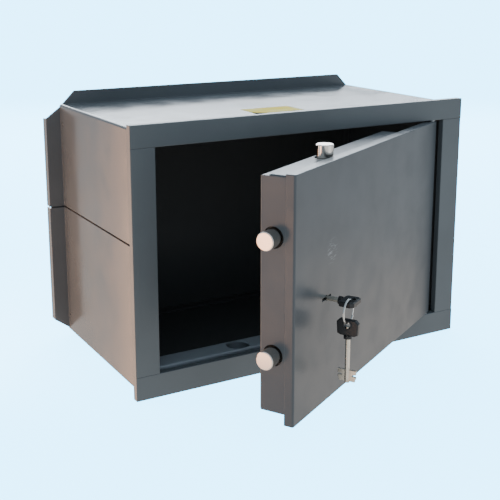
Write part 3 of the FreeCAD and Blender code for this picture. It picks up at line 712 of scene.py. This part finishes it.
# ------------------------------------------------------------------ sub-assemblies
@dataclass
class WeldBead:
    """A rippled stitch of weld, painted over."""

    length: float = 22 * MM
    radius: float = 1.9 * MM
    ripples: int = 11
    swell: float = 1.13
    taper: float = 0.55
    shoulder: float = 0.85
    sway: float = 0.25 * MM
    sway_step: float = 1.7

    def model(self) -> Piece:
        """Model the bead along X about the origin.

        Returns:
            The bead.
        """
        clear_selection()
        bpy.ops.mesh.primitive_cylinder_add(
            vertices=12, radius=self.radius, depth=self.length, rotation=(0, math.pi / 2, 0))
        bead = bpy.context.object
        bpy.ops.object.transform_apply(location=True, rotation=True, scale=True)
        bpy.ops.object.mode_set(mode="EDIT")
        steps = 2 * self.ripples
        for i in range(1, steps):
            bpy.ops.mesh.select_all(action="SELECT")
            at = self.length * (i / steps - 0.5)
            bpy.ops.mesh.bisect(plane_co=(at, 0, 0), plane_no=(1, 0, 0))
        narrowing = {0: self.taper, 1: self.shoulder}
        for i in range(steps + 1):
            at = self.length * (i / steps - 0.5)
            pick(bead, lambda co, at=at: abs(co.x - at) < NEAR)
            from_end = min(i, steps - i)
            size = (self.swell if i % 2 else 1.0) * narrowing.get(from_end, 1.0)
            bpy.ops.transform.resize(value=(1, size, size))
            sway = self.sway * math.sin(self.sway_step * i) if from_end > 0 else 0
            bpy.ops.transform.translate(value=(sway, 0, 0))
        bpy.ops.object.mode_set(mode="OBJECT")
        smooth(bead, angle=60.0)
        return bead


@dataclass
class Cabinet:
    """The folded steel cabinet in its front frame."""

    body: Body = Body.CABINET
    outer: tuple[str, ...] = (
        "frame_top_rail", "frame_bottom_rail", "frame_left_stile", "frame_right_stile")
    shells: tuple[str, ...] = (
        "upper_shell", "lower_shell", "back_panel", "flange_strip_left", "flange_strip_right")
    # the bottom keeper, given a lighter bluish paint as painted light
    painted_light_sills: tuple[str, ...] = ("keeper_bottom",)
    # parts deep inside the cabinet, given a darker paint as painted shade
    painted_shade_parts: tuple[str, ...] = ("keeper_top", "seam_strip_left", "seam_strip_right", "hinge_jamb")
    washers: tuple[str, ...] = ("hinge_washer_bottom", "hinge_washer_top")
    sheet: float = 3 * MM
    plug_radius: float = 2.25 * MM
    plug_inset: float = 9 * MM
    plug_drop: float = 21 * MM
    plug_length_share: float = 0.72
    plug_sunk_share: float = 0.6
    plug_ring_share: float = 0.3
    plug_crown: float = 0.35 * MM
    plug_dip: float = 0.25 * MM
    plug_round: float = 0.12 * MM
    stitches_across: int = 5
    stitches_up: int = 3
    bead: WeldBead = field(default_factory=WeldBead)
    reach_across: float = 0.94
    reach_up: float = 0.9
    lift: float = 0.7 * MM

    def outline(self) -> tuple[float, float, float]:
        """Measure the skin.

        Returns:
            Its half width and half height, and where its rear face is.
        """
        _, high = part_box("back_panel")
        return high.x + self.sheet, high.z + self.sheet, high.y

    def finish(self, paint: bpy.types.Material) -> None:
        """Dress the cabinet's CAD nodes.

        Args:
            paint: the outside paint.
        """
        half_width, half_height, rear = self.outline()
        room = (
            half_width - self.sheet / 2, rear - self.sheet / 3, half_height - self.sheet / 2)
        # the shell paint puts painted shade on its faces inside the cabinet
        skin = Paint(
            "shell_paint", colour=(0.078, 0.092, 0.105), roughness=0.18, inside=room).build()
        # painted shade: a darker, duller paint on the parts deep inside, where shade falls
        dark = Paint(
            "inner_painted_shade", colour=(0.065, 0.067, 0.068), wear_and_highlight=(0.06, 0.062, 0.065), roughness=0.6,
            edge_wear_and_highlight=0.3).build()
        # painted light: a much lighter, bluish paint on the bottom keeper stands in for the light
        # on the sill
        sill = Paint("sill_painted_light", colour=(0.3, 0.34, 0.38), roughness=0.45).build()
        zinc = Metal(
            "washer_zinc", (0.42, 0.43, 0.44), (0.24, 0.24, 0.25), 0.4, Grain.TURNED).build()
        paint_nodes(self.outer, paint)
        paint_nodes(self.shells, skin)
        paint_nodes(self.painted_light_sills, sill)
        paint_nodes(self.painted_shade_parts, dark)
        paint_nodes(self.washers, zinc)

    def plug_welds(self, paint: bpy.types.Material) -> None:
        """Model the weld that fills each hole near the rear edge of the side walls.

        Args:
            paint: the outside paint.
        """
        half_width, half_height, rear = self.outline()
        clear_selection()
        length = self.sheet * self.plug_length_share
        bpy.ops.mesh.primitive_cylinder_add(vertices=24, radius=self.plug_radius, depth=length)
        plug = bpy.context.object
        pick(plug, lambda co: co.z > length / 2 - NEAR)
        bpy.ops.mesh.inset(thickness=self.plug_radius * self.plug_ring_share)
        bpy.ops.transform.translate(value=(0, 0, self.plug_crown))
        bpy.ops.mesh.inset(thickness=self.plug_radius * self.plug_ring_share)
        bpy.ops.transform.translate(value=(0, 0, -self.plug_dip))
        smooth(plug, self.plug_round, 60.0)
        sunk = self.sheet * self.plug_sunk_share
        for side, label in ((-1, "left"), (1, "right")):
            for end, level in ((-1, "lower"), (1, "upper")):
                twin = copy_of(plug)
                height = half_height - self.plug_drop - self.sheet
                at = (side * (half_width - sunk), rear - self.plug_inset, end * height)
                settle(twin, at, (0, side * 90, 0))
                dress(twin, f"plug_weld_{label}_{level}", self.body, paint)
        bpy.data.objects.remove(plug)

    def stitch_welds(self, paint: bpy.types.Material) -> None:
        """Lay stitches of weld where the skin meets the back of the front frame.

        Args:
            paint: the outside paint.
        """
        half_width, half_height, _ = self.outline()
        model = self.bead.model()
        for i in range(self.stitches_across):
            share = (i + 0.5) / self.stitches_across * 2 - 1
            x = share * half_width * self.reach_across
            for end, label in ((-1, "floor"), (1, "roof")):
                bead = copy_of(model)
                settle(bead, (x, self.lift, end * (half_height + self.lift)))
                dress(bead, f"stitch_{label}_{i}", self.body, paint)
        for i in range(self.stitches_up):
            share = (i + 0.5) / self.stitches_up * 2 - 1
            z = share * half_height * self.reach_up
            for side, label in ((-1, "left"), (1, "right")):
                bead = copy_of(model)
                settle(bead, (side * (half_width + self.lift), self.lift, z), (0, 90, 0))
                dress(bead, f"stitch_{label}_{i}", self.body, paint)
        bpy.data.objects.remove(model)


@dataclass
class RoofLabel:
    """A blank paper label stuck on the roof, lifting a little at one corner."""

    thickness: float = 0.12 * MM
    curl: float = 0.9 * MM
    curl_steps: int = 6
    curl_reach: float = 0.9
    cuts: int = 24
    glue: float = 0.02 * MM

    def build(self) -> None:
        """Model the label in its CAD node's place and dress it."""
        low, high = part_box("roof_label")
        middle = (low + high) / 2
        half = (high - low) / 2
        clear_selection()
        at = (middle.x, middle.y, low.z + self.glue)
        bpy.ops.mesh.primitive_plane_add(size=1.0, location=at)
        label = bpy.context.object
        label.scale = (2 * half.x, 2 * half.y, 1)
        bpy.ops.object.transform_apply(location=True, rotation=True, scale=True)
        pick(label, lambda co: True)
        bpy.ops.mesh.subdivide(number_cuts=self.cuts)
        corner = Vector((low.x, low.y))
        reach = half.y * self.curl_reach
        shares = sum(range(1, self.curl_steps + 1))
        for step in range(self.curl_steps):
            near = reach * (1 - step / self.curl_steps)
            pick(label, lambda co, near=near: (co.xy - corner).length < near)
            bpy.ops.transform.translate(value=(0, 0, self.curl * (step + 1) / shares))
        bpy.ops.object.mode_set(mode="OBJECT")
        body = label.modifiers.new("thickness", "SOLIDIFY")
        body.thickness = self.thickness
        body.offset = 1.0
        bpy.ops.object.modifier_apply(modifier=body.name)
        smooth(label, angle=30.0)
        paper = Paper("label_paper", tuple(middle), (half.x, half.y)).build()
        dress(label, "label_sheet", Body.CABINET, paper)
        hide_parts("roof_label")


@dataclass
class Door:
    """The door plate with its tray, bolts and lock."""

    open_angle: float = DOOR_OPEN
    painted: tuple[str, ...] = ("door_tray",)
    bolts: tuple[str, ...] = ("side_bolt_upper", "side_bolt_lower", "top_bolt", "bottom_bolt")
    zinc: tuple[str, ...] = (
        "hinge_pin_top", "hinge_pin_bottom", "tray_posts", "tray_screws", "carriage_studs",
        "lock_case", "lock_cover", "lock_screws", "lever_post", "carriage_plate", "lock_bolt",
        "carriage_screws", "top_rod", "bottom_rod")
    guides: tuple[str, ...] = (
        "bolt_guide_upper", "bolt_guide_lower", "bolt_guide_top", "bolt_guide_bottom")
    brass: tuple[str, ...] = ("key_curtain", "lever_pack")
    hard: tuple[str, ...] = ("hard_plate",)
    bead: WeldBead = field(
        default_factory=lambda: WeldBead(length=18 * MM, radius=1.5 * MM, ripples=9))
    stitches_across: int = 4
    stitches_up: int = 3
    lift: float = 0.5 * MM
    corner_weld: Place = (2.4 * MM, 9 * MM, -0.2 * MM)
    tray_width: float = 285 * MM
    tray_step_top: float = 3 * MM
    tray_step_bottom: float = 11.5 * MM
    free_edge: float = -190 * MM
    plate_top: float = 124 * MM
    plate_bottom: float = -121 * MM
    plate_back: float = 2 * MM
    scuff_at: Place = (-110 * MM, -8 * MM, 34 * MM)
    scuff_reach: float = 16 * MM

    def turned(self, x: float, y: float, z: float) -> Vector:
        """Carry a place on the closed door to where the door stands at rest.

        Args:
            x: the place on the closed door, along X.
            y: the same along Y.
            z: the same along Z.

        Returns:
            The place at rest.
        """
        pin = joint_at("door_swing")
        angle = math.radians(self.open_angle)
        dx, dy = x - pin.x, y - pin.y
        return Vector((pin.x + dx * math.cos(angle) - dy * math.sin(angle),
                       pin.y + dx * math.sin(angle) + dy * math.cos(angle), z))

    def finish(self) -> bpy.types.Material:
        """Dress the door's CAD nodes.

        Returns:
            The tray's paint.
        """
        face = Paint("door_paint", spin=self.open_angle, roughness=0.33,
                     scuff=(tuple(self.turned(*self.scuff_at)), self.scuff_reach)).build()
        tray = Paint("tray_paint", spin=self.open_angle, roughness=0.38).build()
        paint_nodes(("door_plate",), face)
        paint_nodes(self.painted, tray)
        for name in self.bolts:
            low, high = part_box(name)
            paint_nodes((name,), Metal(
                f"{name}_nickel", (0.86, 0.78, 0.70), (0.6, 0.54, 0.49), 0.12, Grain.TUMBLED,
                700.0, 0.05, self.open_angle, tuple((low + high) / 2)).build())
        zinc = Metal(
            "zinc_plate", (0.6, 0.61, 0.6), (0.42, 0.42, 0.4), 0.32, Grain.TUMBLED, 500.0, 0.12,
            self.open_angle).build()
        brass = Metal(
            "milled_brass", (0.74, 0.55, 0.26), (0.5, 0.36, 0.16), 0.28, Grain.DRAWN, 700.0,
            0.15, self.open_angle).build()
        # painted shade: the zinc bolt guides take a near-black colour, standing in for the shade
        # behind the tray wall
        shaded = Metal(
            "guide_painted_shade", (0.1, 0.1, 0.1), (0.05, 0.05, 0.05), 0.5, Grain.TUMBLED, 500.0, 0.12,
            self.open_angle).build()
        hard = Metal(
            "hardened_steel", (0.2, 0.2, 0.21), (0.11, 0.11, 0.13), 0.4, Grain.TUMBLED, 400.0,
            0.2, self.open_angle).build()
        paint_nodes(self.zinc, zinc)
        paint_nodes(self.guides, shaded)
        paint_nodes(self.brass, brass)
        paint_nodes(self.hard, hard)
        return tray

    def tray_welds(self, paint: bpy.types.Material) -> None:
        """Lay stitches of weld where the tray meets the back of the plate.

        Args:
            paint: the tray's paint.
        """
        model = self.bead.model()
        back = self.plate_back + self.lift
        top = self.plate_top - self.tray_step_top
        bottom = self.plate_bottom + self.tray_step_bottom
        right = self.free_edge + self.tray_width
        for i in range(self.stitches_across):
            x = self.free_edge + self.tray_width * (i + 0.5) / self.stitches_across
            for z, label in ((top + self.lift, "top"), (bottom - self.lift, "bottom")):
                bead = copy_of(model)
                settle(bead, tuple(self.turned(x, back, z)), (0, 0, self.open_angle))
                dress(bead, f"tray_stitch_{label}_{i}", Body.DOOR, paint)
        for i in range(self.stitches_up):
            z = bottom + (top - bottom) * (i + 0.5) / self.stitches_up
            bead = copy_of(model)
            at = self.turned(right + self.lift, back, z)
            settle(bead, tuple(at), (0, 90, self.open_angle))
            dress(bead, f"tray_stitch_side_{i}", Body.DOOR, paint)
        inset, behind, drop = self.corner_weld
        corner = copy_of(model)
        at = self.turned(self.free_edge + inset, self.plate_back + behind, top + drop)
        settle(corner, tuple(at), (0, 0, self.open_angle + 90))
        dress(corner, "tray_corner_weld", Body.DOOR, paint)
        bpy.data.objects.remove(model)


@dataclass
class KeySet:
    """Two double-bitted keys with black moulded bows, on a split ring."""

    hole_radius: float = 3.5 * MM
    boss_radius: float = 5.1 * MM
    boss_height: float = 6.9 * MM
    boss_round: float = 0.55 * MM
    hole_from_face: float = 27.4 * MM
    ring_radius: float = 11.4 * MM
    wire_half_width: float = 0.85 * MM
    wire_half_depth: float = 0.44 * MM
    turns: float = 1.9
    wire_sides: int = 14
    wire_steps: int = 150
    hang: float = 2.1 * MM
    open_angle: float = DOOR_OPEN

    def finish(self) -> None:
        """Dress the keys' CAD nodes."""
        steel = Metal(
            "key_nickel", (0.74, 0.68, 0.58), (0.5, 0.45, 0.38), 0.22, Grain.TUMBLED, 900.0,
            0.15).build()
        plastic = Moulded("bow_plastic").build()
        paint_nodes(("key_blade", "spare_key_blade"), steel)
        paint_nodes(("key_bow", "spare_key_bow"), plastic)
        self.bosses(plastic)
        self.split_ring()

    def bosses(self, plastic: bpy.types.Material) -> None:
        """Model the raised eye round the hole of each bow.

        Args:
            plastic: the bows' finish.
        """
        clear_selection()
        bpy.ops.mesh.primitive_circle_add(
            vertices=40, radius=self.hole_radius, fill_type="NOTHING")
        eye = bpy.context.object
        pick(eye, lambda co: True)
        bpy.ops.mesh.extrude_region_move()
        share = self.boss_radius / self.hole_radius
        bpy.ops.transform.resize(value=(share, share, 1))
        bpy.ops.mesh.select_all(action="SELECT")
        bpy.ops.mesh.extrude_region_move(
            TRANSFORM_OT_translate={"value": (0, 0, self.boss_height)})
        bpy.ops.object.mode_set(mode="OBJECT")
        settle(eye, (0, 0, -self.boss_height / 2))
        smooth(eye, self.boss_round, 50.0)
        outward = joint_axis("key_withdraw")
        spare = copy_of(eye)
        settle(eye, tuple(joint_at("curtain_turn") + outward * self.hole_from_face))
        dress(eye, "key_bow_eye", Body.KEY, plastic)
        hanging = joint_at("spare_swing") - Vector((0, 0, self.hang))
        settle(spare, tuple(hanging), (0, 90, self.open_angle))
        dress(spare, "spare_key_bow_eye", Body.SPARE_KEY, plastic)

    def split_ring(self) -> None:
        """Model the ring as nearly two turns of flattened wire."""
        clear_selection()
        bpy.ops.mesh.primitive_circle_add(
            vertices=self.wire_sides, radius=1.0, fill_type="NGON",
            rotation=(math.pi / 2, 0, 0))
        ring = bpy.context.object
        bpy.ops.object.transform_apply(location=True, rotation=True, scale=True)
        ring.scale = (self.wire_half_width, 1, self.wire_half_depth)
        bpy.ops.object.transform_apply(location=False, rotation=False, scale=True)
        ring.location = (self.ring_radius, 0, 0)
        bpy.ops.object.transform_apply(location=True, rotation=True, scale=True)
        pick(ring, lambda co: True)
        bpy.ops.mesh.delete(type="ONLY_FACE")
        bpy.ops.object.mode_set(mode="OBJECT")
        winding = ring.modifiers.new("winding", "SCREW")
        winding.angle = 2 * math.pi * self.turns
        winding.screw_offset = 2 * self.wire_half_depth * self.turns
        winding.steps = winding.render_steps = self.wire_steps
        winding.use_smooth_shade = True
        bpy.ops.object.modifier_apply(modifier=winding.name)
        bpy.ops.object.mode_set(mode="EDIT")
        bpy.ops.mesh.select_all(action="DESELECT")
        bpy.ops.mesh.select_non_manifold()
        bpy.ops.mesh.fill_holes(sides=0)
        bpy.ops.object.mode_set(mode="OBJECT")
        settle(ring, (0, 0, -self.wire_half_depth * self.turns))
        smooth(ring, angle=50.0)
        settle(ring, tuple(joint_at("ring_slip")), (90, 0, self.open_angle))
        bright = Metal(
            "ring_nickel", (0.8, 0.79, 0.77), (0.6, 0.59, 0.57), 0.12, Grain.TUMBLED, 900.0,
            0.05).build()
        dress(ring, "split_ring", Body.RING, bright)
        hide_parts("key_ring")


# ------------------------------------------------------------------ studio
@dataclass(frozen=True)
class Softbox:
    """A flat panel of soft light that the camera does not see."""

    name: str
    at: Place
    towards: Place
    size: tuple[float, float]
    watts: float
    tint: Colour

    def hang(self) -> None:
        """Put the panel up."""
        light = bpy.data.lights.new(self.name, "AREA")
        light.shape = "RECTANGLE"
        light.size, light.size_y = self.size
        light.energy = self.watts
        light.color = self.tint
        panel = bpy.data.objects.new(self.name, light)
        panel.location = self.at
        aim = Vector(self.towards) - Vector(self.at)
        panel.rotation_euler = aim.to_track_quat("-Z", "Y").to_euler()
        panel.visible_camera = False
        bpy.context.scene.collection.objects.link(panel)


@dataclass
class Studio:
    """A pale floor, a pale sky and soft panels round the safe."""

    sky: Colour = (0.15, 0.62, 1.0)
    sky_strength: float = 8.5
    upper_air: Colour = (0.55, 0.67, 0.77)
    lower_air: Colour = (0.98, 0.96, 0.92)
    floor_colour: Colour = (0.62, 0.86, 1.0)
    floor_size: float = 40.0
    floor_gap: float = 0.2 * MM
    horizon: tuple[float, float] = (-0.5, 0.1)
    camera_at: Place = (-592.5 * MM, -897.4 * MM, 299.8 * MM)
    azimuth: float = -29.954
    elevation: float = 12.718
    lens: float = 69.21
    shift: float = -0.12
    panels: tuple[Softbox, ...] = (
        Softbox(
            "rear_panel", (0.9, 1.7, 1.0), (0, 0.1, 0.1), (2.6, 1.2), 52.0, (0.86, 0.93, 1.0)),
        Softbox(
            "left_panel", (-0.40, 0.29, -0.14), (-0.2, 0.29, -0.14), (0.40, 0.62), 2.6,
            (1.0, 0.5, 0.25)),
        Softbox(
            "bolt_panel", (-1.6, -0.15, -0.33), (-0.14, -0.17, 0.0), (0.42, 0.6), 3.0,
            (1.0, 0.5, 0.27)),
        Softbox(
            "right_panel", (1.5, 0.1, -0.72), (0.05, -0.08, -0.1), (0.9, 0.5), 0.5,
            (1.0, 0.7, 0.45)),
        Softbox(
            "front_panel", (0.78, -1.35, -0.3), (-0.1, 0.0, 0.05), (1.2, 1.2), 1.8,
            (0.82, 0.93, 1.0)),
    )

    def floor(self) -> None:
        """Lay a pale floor under the safe."""
        low = min(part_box(name)[0].z for name in frame["nodes"])
        clear_selection()
        at = (0, 0, low - self.floor_gap)
        bpy.ops.mesh.primitive_plane_add(size=self.floor_size, location=at)
        floor = bpy.context.object
        floor.name = "floor"
        shade = Shader("floor_card")
        shade.colour(self.floor_colour)
        shade.set(
            Roughness=0.9, Emission_Color=(*self.sky, 1.0), Emission_Strength=self.sky_strength)
        floor.data.materials.append(shade.material)
        floor.visible_diffuse = False
        floor.visible_glossy = False
        floor.visible_shadow = False

    def sky_dome(self) -> None:
        """Fill the room with soft light and show a paler sky behind the safe."""
        world = bpy.data.worlds.new("sky")
        world.use_nodes = True
        tree = world.node_tree
        room = tree.nodes["Background"]
        height = tree.nodes.new("ShaderNodeSeparateXYZ")
        tree.links.new(tree.nodes.new("ShaderNodeTexCoord").outputs["Generated"], height.inputs[0])
        share = tree.nodes.new("ShaderNodeMapRange")
        share.interpolation_type = "SMOOTHSTEP"
        for name, height_at in zip(("From Min", "From Max"), self.horizon):
            share.inputs[name].default_value = height_at
        tree.links.new(height.outputs["Z"], share.inputs["Value"])
        air = tree.nodes.new("ShaderNodeMix")
        air.data_type = "RGBA"
        air.inputs["A"].default_value = (*self.lower_air, 1.0)
        air.inputs["B"].default_value = (*self.upper_air, 1.0)
        tree.links.new(share.outputs["Result"], air.inputs["Factor"])
        tree.links.new(air.outputs["Result"], room.inputs["Color"])
        backdrop = tree.nodes.new("ShaderNodeBackground")
        backdrop.inputs["Color"].default_value = (*self.sky, 1.0)
        backdrop.inputs["Strength"].default_value = self.sky_strength
        seen = tree.nodes.new("ShaderNodeLightPath")
        choose = tree.nodes.new("ShaderNodeMixShader")
        tree.links.new(seen.outputs["Is Camera Ray"], choose.inputs[0])
        tree.links.new(room.outputs[0], choose.inputs[1])
        tree.links.new(backdrop.outputs[0], choose.inputs[2])
        tree.links.new(choose.outputs[0], tree.nodes["World Output"].inputs["Surface"])
        bpy.context.scene.world = world

    def camera(self) -> None:
        """Set the camera."""
        turn, tilt = math.radians(self.azimuth), math.radians(self.elevation)
        level = math.cos(tilt)
        back = Vector((math.sin(turn) * level, -math.cos(turn) * level, math.sin(tilt)))
        view = bpy.data.cameras.new("camera")
        view.lens = self.lens
        view.shift_y = self.shift
        holder = bpy.data.objects.new("camera", view)
        holder.location = self.camera_at
        holder.rotation_euler = (-back).to_track_quat("-Z", "Y").to_euler()
        bpy.context.scene.collection.objects.link(holder)
        bpy.context.scene.camera = holder

    def build(self) -> None:
        """Set up the whole studio."""
        self.floor()
        self.sky_dome()
        self.camera()
        for panel in self.panels:
            panel.hang()


def main() -> None:
    """Build every sub-assembly, then the studio."""
    paint = Paint("frame_paint", colour=(0.10, 0.118, 0.13)).build()
    cabinet = Cabinet()
    cabinet.finish(paint)
    cabinet.plug_welds(paint)
    cabinet.stitch_welds(paint)
    RoofLabel().build()
    door = Door()
    door.tray_welds(door.finish())
    KeySet().finish()
    Studio().build()
    clear_selection()


if __name__ == "__main__":
    main()
